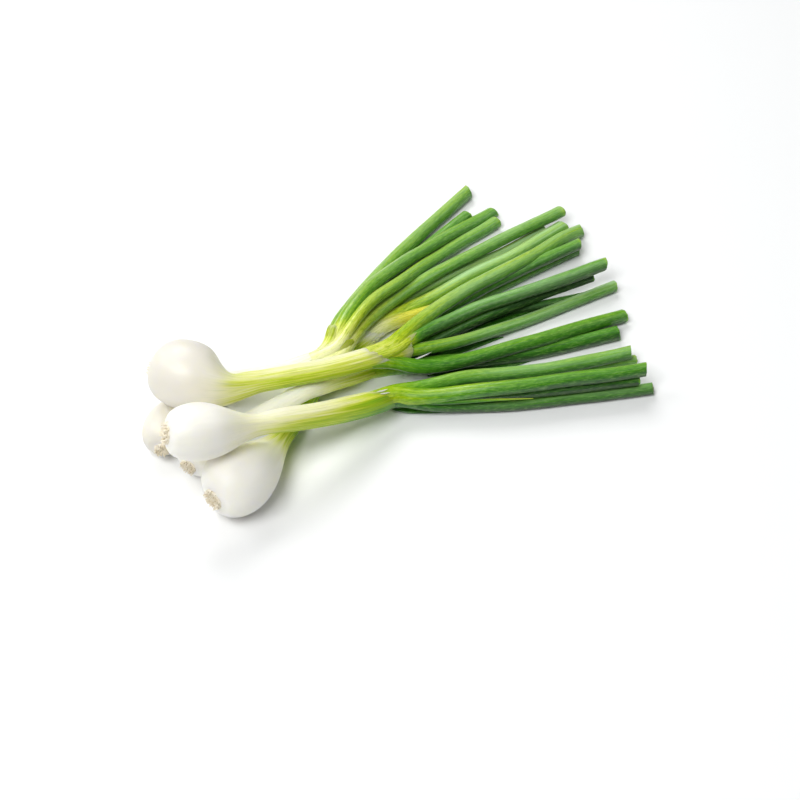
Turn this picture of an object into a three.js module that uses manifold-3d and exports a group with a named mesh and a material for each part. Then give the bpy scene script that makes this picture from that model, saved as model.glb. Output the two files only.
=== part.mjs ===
// A bunch of five spring onions lying on a table. The bulbs are on the left, at -X, the white
// stems cross each other in the middle, and the green leaves fan out to the right, where they
// are all cut off. Millimetres, +Z up; the table is the plane Z = 0, under the middle of the bunch.
//
// Every bulb, stem and leaf is a round strand that follows a route. A route is walked over the
// table like a path on a map: it starts at a point and has a heading at some distances. A bulb
// and its stem have heights of their own. A leaf lies down on the table and on the strands
// that were laid before it, as a springy rod would.

import * as THREE from 'three';
import { mergeVertices } from 'three/addons/utils/BufferGeometryUtils.js';
import Module from 'manifold-3d';

const wasm = await Module();
wasm.setup();

// ---------------------------------------------------------------- Driving dimensions, mm

const AIR_GAP = 0.6;          // air between two strands, where one lies on the other
const BULB_SIDES = 16;
const LEAF_SIDES = 8;
const SHOULDER_RING = 3.5;    // third ring of a bulb, where it bends most; the first are at 0 and 1
const BULB_RING_STEP = 4;     // distance between the rings of vertices after that
const STEM_RING_STEP = 9;
const SWELL_RING_STEP = 6;    // on the swelling base of a leaf
const LEAF_RING_STEP = 12;
const FLAT_ENOUGH = 0.02;     // corners that stand out less than this are taken off cut leaves

const SHEATH_WALL = 0.7;      // the sheath round the leaf bases, at the top of a stem
const SHEATH_DEPTH = 8;       // how far down the leaf bases stand in it
const LEAF_WALL = 0.8;        // a leaf is a tube: its wall, where it is cut
const CUT_DEPTH = 12;         // how deep the tube is open from the cut
const LEAF_BASE_RADIUS = 1.1; // a leaf is thin in its sheath
const LEAF_SWELL = [7, 26];   // it swells to its full width between these distances
const NEST = [12, 60];        // up to there, the leaves of one onion are pressed into each other
const PRESS_GAP = 0.5;        // air between two leaves that are pressed together
const PRESS_BEYOND = 30;      // a leaf is cut by its neighbours this far beyond the nest
const CUT_MARGIN = 5;         // but not so close to its end
const POINT_RADIUS = 0.15;    // a young leaf's radius at its point, as a share of the full one
const POINT_TAPER = 55;       // and the length over which it would narrow to nothing

const ROOT_GAP = 0.3;         // between the root plate and the bulb
const ROOT_PLATE = 1.4;       // thickness of the root plate
const ROOT_COUNT = 15;        // trimmed roots on each plate
const ROOT_LENGTH = 1.0;      // how far a trimmed root stands out of the plate, at most
const ROOT_RADIUS = 0.6;
const ROOT_POINT = 0.7;       // a root's radius at its end, as a share
const PLATE_TOP = 0.96;       // radius of the root plate against the bulb, as a share of its seat
const PLATE_FOOT = 0.8;       // and at the roots
const ROOT_SPREAD = 0.72;     // roots stand inside this share of it
const GOLDEN_ANGLE = 2.39996; // radians between one root and the next, as in a seed head

const SPRING_STEP = 4;        // a leaf's heights are worked out at points this far apart
const LEAF_WEIGHT = 1.5e-5;   // a leaf's weight over its stiffness, per mm cubed
const SWEEPS = 4000;          // rounds of settling a leaf
const HURRY = 1.9;            // over-relaxation: how far a round overshoots
const BASE_SLOPE = 0.22;      // near the stem a leaf climbs no more steeply than this
const BASE_STRETCH = 30;      // as far as this from its base

const COLOURS = {
  bulb: 0xf1eee2,
  roots: 0xb79a6c,
  leaf: 0x4f8a2a,
};

// Turns are [distance, heading in degrees from +X]. Rises are [distance, height of the axis].
// A seat is where a leaf stands in its sheath: to the left of the stem's axis, and above it.

const ONIONS = [
  {
    name: 'near',
    start: [-87, -75], length: 140,
    plate: 7, bulb: 17.2, belly: 15, neck: 54, stem: 5.4, rim: 4.4,
    turns: [[0, 45], [25, 54], [50, 67], [80, 68], [100, 60], [125, 45]],
    rises: [[0, 17.6], [15, 16.5], [40, 12.4], [65, 7.2], [90, 5.3], [141, 5]],
    leaves: [
      { seat: [0, -1.7], length: 126, radius: 2.6, turns: [[7, 45], [19, 63], [50, 35], [100, 34]] },
      { seat: [-2, 0.8], length: 130, radius: 3.0, turns: [[7, 45], [19, 31], [50, 23], [100, 31]] },
      { seat: [2, 0.8], length: 133, radius: 3.3, turns: [[7, 45], [19, 39], [50, 36], [100, 34]] },
    ],
  },
  {
    name: 'under',
    start: [-101, -50], length: 106,
    plate: 5.5, bulb: 11.8, belly: 13, neck: 38, stem: 4.9, rim: 4.3,
    turns: [[0, 58], [25, 31], [50, 32], [80, 40], [100, 25]],
    rises: [[0, 11], [13, 11.1], [38, 15], [67, 17.5], [82, 13.2], [95, 10], [106, 9]],
    leaves: [
      { seat: [2, -0.2], length: 140, radius: 2.6, turns: [[7, 25], [19, 20], [50, 50], [100, 17]] },
      { seat: [-2, -0.5], length: 138, radius: 3.3, turns: [[7, 25], [19, 9], [50, 11], [100, 17]] },
      { seat: [0, 1.5], length: 140, radius: 3.0, turns: [[7, 25], [19, 31], [50, 36], [100, 26]] },
    ],
  },
  {
    name: 'left',
    start: [-115, -39], length: 108,
    plate: 5, bulb: 11.2, belly: 11, neck: 38, stem: 5, rim: 4.8,
    turns: [[0, 88], [25, 72], [50, 20], [80, 3], [100, 18]],
    rises: [[0, 10.6], [11, 10.9], [40, 6.5], [75, 8.5], [105, 15.5], [118, 16.5]],
    leaves: [
      { seat: [-2.4, -0.9], length: 176, radius: 3.3, turns: [[7, 18], [19, 72], [50, 49], [100, 35]] },
      { seat: [0.3, -1.6], length: 145, radius: 3.0, turns: [[7, 18], [19, 84], [50, 65], [100, 47]] },
      { seat: [2.4, -0.4], length: 159, radius: 3.5, turns: [[7, 18], [19, 82], [50, 70], [100, 51]] },
      { seat: [1.4, 2.2], length: 154, radius: 3.5, turns: [[7, 18], [19, 77], [50, 64], [100, 42]] },
      { seat: [-1.6, 2.2], length: 149, radius: 3.3, turns: [[7, 18], [19, 68], [50, 59], [100, 43]] },
    ],
  },
  {
    name: 'back',
    start: [-118, -8], length: 115,
    plate: 7, bulb: 17, belly: 16, neck: 54, stem: 5.3, rim: 5.5,
    turns: [[0, -24], [25, -12], [50, 20], [80, 19], [100, 25]],
    rises: [[0, 34.5], [16, 35], [45, 31], [75, 27], [115, 23]],
    leaves: [
      { seat: [3.0, -0.6], length: 145, radius: 3.0, turns: [[7, 25], [19, 59], [50, 46], [100, 31]] },
      { seat: [0.2, -2.0], length: 145, radius: 3.2, turns: [[7, 25], [19, 30], [50, 30], [100, 25]] },
      { seat: [-2.8, -0.8], length: 140, radius: 3.5, turns: [[7, 25], [19, 4], [50, 22], [100, 24]] },
      { seat: [-1.2, 1.6], length: 144, radius: 3.3, turns: [[7, 25], [19, 56], [50, 34], [100, 23]] },
      { seat: [2.0, 2.3], length: 157, radius: 3.5, turns: [[7, 25], [19, 54], [50, 51], [100, 39]] },
    ],
  },
  {
    name: 'top',
    start: [-107, -62], length: 113,
    plate: 7, bulb: 13.8, belly: 15, neck: 46, stem: 6, rim: 6.1,
    turns: [[0, 15], [25, 25], [50, 23], [80, 33], [100, 37]],
    rises: [[0, 50], [16, 45.5], [45, 37.5], [70, 29], [100, 17], [113, 13]],
    leaves: [
      { seat: [-3.4, -1.6], length: 141, radius: 3.0, turns: [[7, 37], [19, -1], [50, 4], [100, 10]] },
      { seat: [0, -2.6], length: 135, radius: 2.8, turns: [[7, 37], [19, 4], [50, 1], [100, 9]] },
      { seat: [3.2, -1.6], length: 140, radius: 2.6, turns: [[7, 37], [19, 14], [50, 14], [100, 12]] },
      { seat: [2.2, 2.0], length: 137, radius: 3.3, turns: [[7, 37], [19, 8], [50, 11], [100, 16]] },
      { seat: [-3.6, 1.3], length: 79, radius: 1.3, young: true, turns: [[7, 37], [19, -1], [50, 4]] },
      { seat: [-0.9, 1.8], length: 138, radius: 3.5, turns: [[7, 37], [19, -1], [50, 2], [100, 12]] },
    ],
  },
];

// ---------------------------------------------------------------- Routes

// A value between the rows of a list of [distance, value], in straight lines.
function straightBetween(rows, distance) {
  const next = rows.findIndex(([at]) => at > distance);
  if (next === 0) return rows[0][1];
  if (next < 0) return rows[rows.length - 1][1];
  const [from, low] = rows[next - 1];
  const [to, high] = rows[next];
  return THREE.MathUtils.mapLinear(distance, from, to, low, high);
}

// The same on a smooth curve through the rows.
function smoothBetween(rows, distance) {
  const last = rows.length - 1;
  const slopeAt = (i) => {
    const before = rows[Math.max(i - 1, 0)];
    const after = rows[Math.min(i + 1, last)];
    return (after[1] - before[1]) / (after[0] - before[0]);
  };
  const at = THREE.MathUtils.clamp(distance, rows[0][0], rows[last][0]);
  const i = Math.max(1, rows.findIndex(([row]) => row >= at));
  const width = rows[i][0] - rows[i - 1][0];
  const t = (at - rows[i - 1][0]) / width;
  const start = 2 * t ** 3 - 3 * t ** 2 + 1;
  const leave = (t ** 3 - 2 * t ** 2 + t) * width;
  const arrive = (t ** 3 - t ** 2) * width;
  return start * rows[i - 1][1] + leave * slopeAt(i - 1) + (1 - start) * rows[i][1] + arrive * slopeAt(i);
}

// A point for every millimetre of a strand, walked over the table. Heights come later.
function walk([x, y], turns, length) {
  const points = [new THREE.Vector3(x, y, 0)];
  for (let distance = 0; distance < length; distance += 1) {
    const heading = THREE.MathUtils.degToRad(straightBetween(turns, distance + 0.5));
    const stride = new THREE.Vector3(Math.cos(heading), Math.sin(heading), 0);
    points.push(points[distance].clone().add(stride));
  }
  return points;
}

// ---------------------------------------------------------------- Lying on what is below

const laid = [];   // every millimetre of every strand that lies already: its point and radius

// The lowest that a strand's axis may be at a point, so that it clears the strands below. A share
// under 1 lets it sink into them.
function lowestOver(point, radius, strands, share) {
  let lowest = 0;
  for (const other of strands) {
    const reach = (radius + other.radius) * share + AIR_GAP;
    const aside = Math.hypot(point.x - other.point.x, point.y - other.point.y);
    if (aside < reach) lowest = Math.max(lowest, other.point.z + Math.sqrt(reach ** 2 - aside ** 2));
  }
  return lowest;
}

// Heights of a springy rod that is held at its first three points and lies on floors elsewhere.
function settle(floors) {
  const heights = [...floors];
  const weight = LEAF_WEIGHT * SPRING_STEP ** 4;
  for (let sweep = 0; sweep < SWEEPS; sweep += 1) {
    for (let i = 3; i < heights.length; i += 1) {
      let push = weight;
      let stiffness = 0;
      for (let j = i - 1; j <= Math.min(i + 1, heights.length - 2); j += 1) {
        const share = j === i ? -2 : 1;
        push += share * (heights[j - 1] - 2 * heights[j] + heights[j + 1]);
        stiffness += share ** 2;
      }
      heights[i] = Math.max(floors[i], heights[i] - (HURRY * push) / stiffness);
    }
  }
  return heights;
}

// Gives a leaf's points their heights. It leaves its sheath at a height and with a slope.
function layDown(points, radiusAt, below, own, baseHeight, baseSlope) {
  const last = points.length - 1;
  const count = Math.round(last / SPRING_STEP);
  const every = last / count;
  const lowest = points.map((point, distance) => {
    const radius = radiusAt(distance);
    const table = radius * Math.cos(Math.PI / LEAF_SIDES);
    const share = THREE.MathUtils.smoothstep(distance, ...NEST);
    return Math.max(
      table,
      lowestOver(point, radius, below, 1),
      lowestOver(point, radius, own, share),
    );
  });
  const floors = [];
  for (let i = 0; i <= count; i += 1) {
    const from = Math.max(0, Math.floor((i - 0.5) * every));
    const around = lowest.slice(from, Math.ceil((i + 0.5) * every) + 1);
    floors.push(Math.max(...around));
  }
  for (let i = 0; i * every < BASE_STRETCH; i += 1) {
    const held = baseHeight + baseSlope * every * Math.min(i, 2);
    const climb = BASE_SLOPE * every * Math.max(0, i - 2);
    floors[i] = i < 3 ? held : Math.min(floors[i], held + climb);
  }
  const heights = settle(floors).map((height, i) => [i * every, height]);
  points.forEach((point, distance) => {
    point.z = smoothBetween(heights, distance);
  });
}

// ---------------------------------------------------------------- Round strands

// Bends a profile of [radius, distance] points, turned round its axis, along a route.
function bendAlong(points, profile, sides) {
  const outline = profile.map(([radius, distance]) => new THREE.Vector2(radius, distance));
  const geometry = new THREE.LatheGeometry(outline, sides, Math.PI / sides);
  const route = new THREE.CatmullRomCurve3(points);
  const position = geometry.attributes.position;
  const last = points.length - 1;
  for (let i = 0; i < position.count; i += 1) {
    const along = position.getY(i) / last;
    const centre = route.getPoint(THREE.MathUtils.clamp(along, 0, 1));
    const tangent = route.getTangent(THREE.MathUtils.clamp(along, 0, 1));
    const right = new THREE.Vector3(tangent.y, -tangent.x, 0).normalize();
    const up = new THREE.Vector3().crossVectors(right, tangent);
    centre.addScaledVector(right, position.getX(i)).addScaledVector(up, position.getZ(i));
    position.setXYZ(i, centre.x, centre.y, Math.max(0, centre.z));
  }
  geometry.deleteAttribute('normal');
  geometry.deleteAttribute('uv');
  const closed = mergeVertices(geometry, 1e-4);
  closed.computeVertexNormals();
  return closed;
}

// Distances from one end of a stretch to the other, about a step apart.
function stations(from, to, step) {
  const count = Math.max(1, Math.round((to - from) / step));
  return Array.from({ length: count + 1 }, (_, i) => from + ((to - from) * i) / count);
}

// The radius of a bulb and its stem: a quarter of an ellipse from the root plate to the belly,
// then a smooth wave down to the stem.
function bulbRadius(onion, distance) {
  if (distance < onion.belly) {
    const arc = Math.sqrt(1 - (1 - distance / onion.belly) ** 2);
    return onion.plate + (onion.bulb - onion.plate) * arc;
  }
  const fall = Math.min(1, (distance - onion.belly) / (onion.neck - onion.belly));
  const taper = Math.max(0, (distance - onion.neck) / (onion.length - onion.neck));
  const stem = THREE.MathUtils.lerp(onion.stem, onion.rim, taper);
  return stem + ((onion.bulb - stem) * (1 + Math.cos(Math.PI * fall))) / 2;
}

// A bulb with its stem, which ends in an open sheath for the leaf bases.
function bulbGeometry(onion, points) {
  const early = [0, 1, ...stations(SHOULDER_RING, onion.neck, BULB_RING_STEP)];
  const rings = [...early, ...stations(onion.neck, onion.length, STEM_RING_STEP).slice(1)];
  const inside = onion.rim - SHEATH_WALL;
  const profile = [
    [0, 0],
    ...rings.map((distance) => [bulbRadius(onion, distance), distance]),
    [inside, onion.length],
    [inside, onion.length - SHEATH_DEPTH],
    [0, onion.length - SHEATH_DEPTH],
  ];
  return bendAlong(points, profile, BULB_SIDES);
}

// A leaf is thin at its base and swells to its full width. A young leaf narrows to a point.
function leafRadius(leaf, distance) {
  const grown = THREE.MathUtils.smoothstep(distance, ...LEAF_SWELL);
  const full = LEAF_BASE_RADIUS + (leaf.radius - LEAF_BASE_RADIUS) * grown;
  return leaf.young ? full * Math.min(1, POINT_RADIUS + (leaf.length - distance) / POINT_TAPER) : full;
}

function leafGeometry(leaf, points) {
  const swelling = stations(0, LEAF_SWELL[1], SWELL_RING_STEP);
  const rings = [...swelling, ...stations(LEAF_SWELL[1], leaf.length, LEAF_RING_STEP).slice(1)];
  const outside = rings.map((distance) => [leafRadius(leaf, distance), distance]);
  const bore = leaf.radius - LEAF_WALL;
  const cut = [
    [bore, leaf.length],
    [bore, leaf.length - CUT_DEPTH],
    [0, leaf.length - CUT_DEPTH],
  ];
  const end = leaf.young ? [[0, leaf.length]] : cut;
  return bendAlong(points, [[0, 0], ...outside, ...end], LEAF_SIDES);
}

// The space that the base of a leaf takes from its neighbours in the same onion.
function baseSpace(leaf, points) {
  const reach = Math.min(NEST[1] + PRESS_BEYOND, leaf.length - CUT_MARGIN);
  const rings = stations(0, reach, SWELL_RING_STEP);
  const outside = rings.map((distance) => [leafRadius(leaf, distance) + PRESS_GAP, distance]);
  return bendAlong(points, [[0, 0], ...outside, [0, reach]], LEAF_SIDES);
}

// A leaf, with what its neighbours press into its base. Scraps that this cuts off are dropped.
function pressedLeaf(leaf, points, spaces) {
  let solid = toManifold(leafGeometry(leaf, points));
  spaces.forEach((space) => {
    solid = solid.subtract(space);
  });
  const pieces = solid.decompose().sort((a, b) => b.volume() - a.volume());
  return fromManifold(pieces[0].simplify(FLAT_ENOUGH));
}

// ---------------------------------------------------------------- Roots

function toManifold(geometry) {
  const bare = geometry.clone();
  bare.deleteAttribute('normal');
  bare.deleteAttribute('uv');
  const merged = mergeVertices(bare, 1e-4);
  const vertProperties = new Float32Array(merged.attributes.position.array);
  const triVerts = new Uint32Array(merged.index.array);
  return new wasm.Manifold(new wasm.Mesh({ numProp: 3, vertProperties, triVerts }));
}

function fromManifold(solid) {
  const mesh = solid.getMesh();
  const geometry = new THREE.BufferGeometry();
  geometry.setAttribute('position', new THREE.BufferAttribute(mesh.vertProperties, 3));
  geometry.setIndex(new THREE.BufferAttribute(mesh.triVerts, 1));
  geometry.computeVertexNormals();
  return geometry;
}

// The root plate with its trimmed roots. It is made upright on Z, roots down.
function rootsGeometry(onion, random) {
  const outline = [
    [0, 0],
    [onion.plate * PLATE_TOP, 0],
    [onion.plate * PLATE_FOOT, -ROOT_PLATE],
    [0, -ROOT_PLATE],
  ];
  const points = outline.map(([radius, height]) => new THREE.Vector2(radius, height)).reverse();
  const plate = new THREE.LatheGeometry(points, BULB_SIDES).rotateX(Math.PI / 2);
  let solid = toManifold(plate);
  for (let i = 0; i < ROOT_COUNT; i += 1) {
    const out = onion.plate * ROOT_SPREAD * Math.sqrt((i + 0.5) / ROOT_COUNT);
    const reach = ROOT_PLATE / 2 + ROOT_LENGTH * (0.5 + 0.5 * random());
    const root = new THREE.CylinderGeometry(ROOT_RADIUS, ROOT_RADIUS * ROOT_POINT, reach, 4);
    root.rotateX(Math.PI / 2).translate(0, 0, -ROOT_PLATE / 2 - reach / 2);
    root.translate(out * Math.cos(i * GOLDEN_ANGLE), out * Math.sin(i * GOLDEN_ANGLE), 0);
    solid = solid.add(toManifold(root));
  }
  return fromManifold(solid);
}

// ---------------------------------------------------------------- The bunch

function seededRandom(seed) {
  let state = seed;
  return () => {
    state = (state * 16807) % 2147483647;
    return state / 2147483647;
  };
}

function addMesh(group, name, geometry, kind) {
  const material = new THREE.MeshStandardMaterial({
    color: COLOURS[kind],
    roughness: kind === 'roots' ? 0.9 : 0.45,
    metalness: 0,
  });
  const mesh = new THREE.Mesh(geometry, material);
  mesh.name = name;
  group.add(mesh);
  return mesh;
}

function withRadii(points, radiusAt) {
  return points.map((point, distance) => ({ point, radius: radiusAt(distance) }));
}

const group = new THREE.Group();
const random = seededRandom(5);

for (const onion of ONIONS) {
  const points = walk(onion.start, onion.turns, onion.length);
  points.forEach((point, distance) => {
    point.z = smoothBetween(onion.rises, distance);
  });
  addMesh(group, `${onion.name}_bulb`, bulbGeometry(onion, points), 'bulb');

  const roots = addMesh(group, `${onion.name}_roots`, rootsGeometry(onion, random), 'roots');
  const axis = points[1].clone().sub(points[0]).normalize();
  roots.quaternion.setFromUnitVectors(new THREE.Vector3(0, 0, 1), axis);
  roots.position.copy(points[0]).addScaledVector(axis, -ROOT_GAP);

  const below = [...laid];
  const own = [];
  const spaces = [];
  const seatAt = onion.length - SHEATH_DEPTH + 1;
  const seat = points[seatAt];
  const run = points[onion.length].clone().sub(seat);
  const slope = run.z / Math.hypot(run.x, run.y);
  const left = new THREE.Vector3(-run.y, run.x, 0).normalize();
  onion.leaves.forEach((leaf, i) => {
    const start = seat.clone().addScaledVector(left, leaf.seat[0]);
    const leafPoints = walk([start.x, start.y], leaf.turns, leaf.length);
    const radiusAt = (distance) => leafRadius(leaf, distance);
    layDown(leafPoints, radiusAt, below, own, seat.z + leaf.seat[1], slope);
    addMesh(group, `${onion.name}_leaf_${i + 1}`, pressedLeaf(leaf, leafPoints, spaces), 'leaf');
    spaces.push(toManifold(baseSpace(leaf, leafPoints)));
    own.push(...withRadii(leafPoints, radiusAt));
  });
  laid.push(...withRadii(points, (distance) => bulbRadius(onion, distance)), ...own);
}

// The origin is under the middle of the bunch, on the table.
const box = new THREE.Box3().setFromObject(group, true);
const middle = box.getCenter(new THREE.Vector3());
group.children.forEach((mesh) => {
  mesh.position.x -= middle.x;
  mesh.position.y -= middle.y;
  mesh.position.z -= box.min.z;
});

export default group;
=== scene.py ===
# %% [markdown]
# # A bunch of spring onions
# Five spring onions lie loosely on a pale table: white bulbs, stems that turn from white to
# green, and tube leaves that are cut off at their ends. The solids are simple and faceted. Here each
# of them gets its skin: smooth shapes with veins, thin sheath edges, open cut ends and roots, and
# materials that change along and around each strand.
#
# A spring onion is a set of strands. So this lesson builds three tools first, a route, a section
# and a skin over sections, and then uses them for every piece.

# %% Load the fixed frame
import math

import bpy
import numpy as np
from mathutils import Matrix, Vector


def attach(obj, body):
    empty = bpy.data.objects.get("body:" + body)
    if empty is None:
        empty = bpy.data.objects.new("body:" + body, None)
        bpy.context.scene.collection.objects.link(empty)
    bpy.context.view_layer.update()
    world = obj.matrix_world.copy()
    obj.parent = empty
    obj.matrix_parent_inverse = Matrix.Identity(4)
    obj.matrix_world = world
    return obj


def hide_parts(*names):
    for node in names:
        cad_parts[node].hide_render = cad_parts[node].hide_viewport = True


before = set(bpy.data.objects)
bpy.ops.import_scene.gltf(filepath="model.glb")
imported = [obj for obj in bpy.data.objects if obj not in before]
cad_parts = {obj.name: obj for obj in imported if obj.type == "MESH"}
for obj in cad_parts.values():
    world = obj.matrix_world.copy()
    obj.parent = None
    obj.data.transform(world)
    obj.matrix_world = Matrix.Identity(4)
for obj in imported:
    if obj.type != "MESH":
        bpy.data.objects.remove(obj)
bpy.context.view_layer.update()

scene = bpy.context.scene
MM = 0.001                  # the lengths below are in millimetres, and Blender's are in metres
TURN = 2 * math.pi
print(len(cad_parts), "solids in the frame")

# %% [markdown]
# ## The camera
# The bunch is seen from the front and well above. The camera looks at a point on the table from one
# metre away with a long lens, so the near bulbs are hardly larger than the far ones. It comes
# first, because every later step is judged through it.

# %% The camera
MIDDLE = np.array([1.1, 32.7, 0])    # the middle of the bunch, seen from where its routes start
LOOK_AT = Vector(-MIDDLE * MM)
CAMERA_DISTANCE = 1.0
CAMERA_ELEVATION = math.radians(50)

camera = bpy.data.objects.new("camera", bpy.data.cameras.new("camera"))
camera.data.lens = 90
camera.data.sensor_width = 36
camera.data.clip_end = 20
sight = Vector((0, -math.cos(CAMERA_ELEVATION), math.sin(CAMERA_ELEVATION)))
camera.location = LOOK_AT + sight * CAMERA_DISTANCE
camera.rotation_euler = (math.pi / 2 - CAMERA_ELEVATION, 0, 0)
scene.collection.objects.link(camera)
scene.camera = camera
print("the camera is at", [round(value, 3) for value in camera.location])

# %% [markdown]
# ## How each onion lies
# Each onion is walked over the table like a path on a map. A bulb and its stem have headings and
# heights at some distances from the root plate. A leaf has a seat in its stem, a length, a radius and
# headings. These are the measures that the solids have too, so the skins land on them.

# %% The five onions
# Turns are [distance, heading in degrees from +X], and rises are [distance, height of the axis].
# A seat is [left of the stem's axis, above it].
ONIONS = [
    dict(
        name="near", start=(-87, -75), length=140,
        plate=7, bulb=17.2, belly=15, neck=54, stem=5.4, rim=4.4,
        turns=[(0, 45), (25, 54), (50, 67), (80, 68), (100, 60), (125, 45)],
        rises=[(0, 17.6), (15, 16.5), (40, 12.4), (65, 7.2), (90, 5.3), (141, 5)],
        leaves=[
            dict(seat=(0, -1.7), length=126, radius=2.6, turns=[(7, 45), (19, 63), (50, 35), (100, 34)]),
            dict(seat=(-2, 0.8), length=130, radius=3.0, turns=[(7, 45), (19, 31), (50, 23), (100, 31)]),
            dict(seat=(2, 0.8), length=133, radius=3.3, turns=[(7, 45), (19, 39), (50, 36), (100, 34)]),
        ],
    ),
    dict(
        name="under", start=(-101, -50), length=106,
        plate=5.5, bulb=11.8, belly=13, neck=38, stem=4.9, rim=4.3,
        turns=[(0, 58), (25, 31), (50, 32), (80, 40), (100, 25)],
        rises=[(0, 11), (13, 11.1), (38, 15), (67, 17.5), (82, 13.2), (95, 10), (106, 9)],
        leaves=[
            dict(seat=(2, -0.2), length=140, radius=2.6, turns=[(7, 25), (19, 20), (50, 50), (100, 17)]),
            dict(seat=(-2, -0.5), length=138, radius=3.3, turns=[(7, 25), (19, 9), (50, 11), (100, 17)]),
            dict(seat=(0, 1.5), length=140, radius=3.0, turns=[(7, 25), (19, 31), (50, 36), (100, 26)]),
        ],
    ),
    dict(
        name="left", start=(-115, -39), length=108,
        plate=5, bulb=11.2, belly=11, neck=38, stem=5, rim=4.8,
        turns=[(0, 88), (25, 72), (50, 20), (80, 3), (100, 18)],
        rises=[(0, 10.6), (11, 10.9), (40, 6.5), (75, 8.5), (105, 15.5), (118, 16.5)],
        leaves=[
            dict(seat=(-2.4, -0.9), length=176, radius=3.3, turns=[(7, 18), (19, 72), (50, 49), (100, 35)]),
            dict(seat=(0.3, -1.6), length=145, radius=3.0, turns=[(7, 18), (19, 84), (50, 65), (100, 47)]),
            dict(seat=(2.4, -0.4), length=159, radius=3.5, turns=[(7, 18), (19, 82), (50, 70), (100, 51)]),
            dict(seat=(1.4, 2.2), length=154, radius=3.5, turns=[(7, 18), (19, 77), (50, 64), (100, 42)]),
            dict(seat=(-1.6, 2.2), length=149, radius=3.3, turns=[(7, 18), (19, 68), (50, 59), (100, 43)]),
        ],
    ),
    dict(
        name="back", start=(-118, -8), length=115,
        plate=7, bulb=17, belly=16, neck=54, stem=5.3, rim=5.5,
        turns=[(0, -24), (25, -12), (50, 20), (80, 19), (100, 25)],
        rises=[(0, 34.5), (16, 35), (45, 31), (75, 27), (115, 23)],
        leaves=[
            dict(seat=(3.0, -0.6), length=145, radius=3.0, turns=[(7, 25), (19, 59), (50, 46), (100, 31)]),
            dict(seat=(0.2, -2.0), length=145, radius=3.2, turns=[(7, 25), (19, 30), (50, 30), (100, 25)]),
            dict(seat=(-2.8, -0.8), length=140, radius=3.5, turns=[(7, 25), (19, 4), (50, 22), (100, 24)]),
            dict(seat=(-1.2, 1.6), length=144, radius=3.3, turns=[(7, 25), (19, 56), (50, 34), (100, 23)]),
            dict(seat=(2.0, 2.3), length=157, radius=3.5, turns=[(7, 25), (19, 54), (50, 51), (100, 39)]),
        ],
    ),
    dict(
        name="top", start=(-107, -62), length=113,
        plate=7, bulb=13.8, belly=15, neck=46, stem=6, rim=6.1,
        turns=[(0, 15), (25, 25), (50, 23), (80, 33), (100, 37)],
        rises=[(0, 50), (16, 45.5), (45, 37.5), (70, 29), (100, 17), (113, 13)],
        leaves=[
            dict(seat=(-3.4, -1.6), length=141, radius=3.0, turns=[(7, 37), (19, -1), (50, 4), (100, 10)]),
            dict(seat=(0, -2.6), length=135, radius=2.8, turns=[(7, 37), (19, 4), (50, 1), (100, 9)]),
            dict(seat=(3.2, -1.6), length=140, radius=2.6, turns=[(7, 37), (19, 14), (50, 14), (100, 12)]),
            dict(seat=(2.2, 2.0), length=137, radius=3.3, turns=[(7, 37), (19, 8), (50, 11), (100, 16)]),
            dict(seat=(-3.6, 1.3), length=79, radius=1.3, young=True, turns=[(7, 37), (19, -1), (50, 4)]),
            dict(seat=(-0.9, 1.8), length=138, radius=3.5, turns=[(7, 37), (19, -1), (50, 2), (100, 12)]),
        ],
    ),
]
print(sum(len(onion["leaves"]) for onion in ONIONS), "leaves on", len(ONIONS), "onions")

# %% [markdown]
# ## Routes
# A route could be drawn by hand as a Bezier curve. A walk with headings is easier to set against
# measures, and a list of one point for every millimetre is easy to lay down on other strands. Heights
# between two known ones follow a smooth curve that keeps its slope at each of them.

# %% Walking a route
def smooth_between(rows, distance):
    """A value on a smooth curve through rows of [distance, value]."""
    at, value = np.array(rows, float).T
    before = np.maximum(np.arange(len(at)) - 1, 0)
    after = np.minimum(np.arange(len(at)) + 1, len(at) - 1)
    slope = (value[after] - value[before]) / (at[after] - at[before])
    where = np.clip(distance, at[0], at[-1])
    i = np.clip(np.searchsorted(at, where), 1, len(at) - 1)
    width = at[i] - at[i - 1]
    t = (where - at[i - 1]) / width
    start = 2 * t**3 - 3 * t**2 + 1
    leave = (t**3 - 2 * t**2 + t) * width * slope[i - 1]
    arrive = (t**3 - t**2) * width * slope[i]
    return start * value[i - 1] + leave + (1 - start) * value[i] + arrive


def walk(start, turns, length):
    """A point on the map for every millimetre of a strand."""
    at, heading = np.array(turns, float).T
    headings = np.radians(np.interp(np.arange(length) + 0.5, at, heading))
    strides = np.stack([np.cos(headings), np.sin(headings)], 1)
    return np.array(start) + np.vstack([[0, 0], np.cumsum(strides, 0)])


print("10 mm to the right, then 10 mm away, ends at", walk((0, 0), [(9, 0), (11, 90)], 20)[-1].round(1))

# %% [markdown]
# ## Laying a leaf down
# A leaf is a springy rod. It is held where it leaves its sheath, its weight pulls it down, and the
# table and the strands below push it up. A physics engine could drop it, but the answer of a
# simple rule is the same on every run: first find the lowest height that each point may have, then
# bend a rod over those heights and let it touch as few of them as it can.

# %% The lowest heights
AIR_GAP = 0.6               # mm of air between a leaf and the strand below it


def smooth_step(value, low, high):
    """A share from 0 to 1 that starts and ends gently while a value goes from low to high."""
    t = np.clip((value - low) / (high - low), 0, 1)
    return t * t * (3 - 2 * t)


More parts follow.
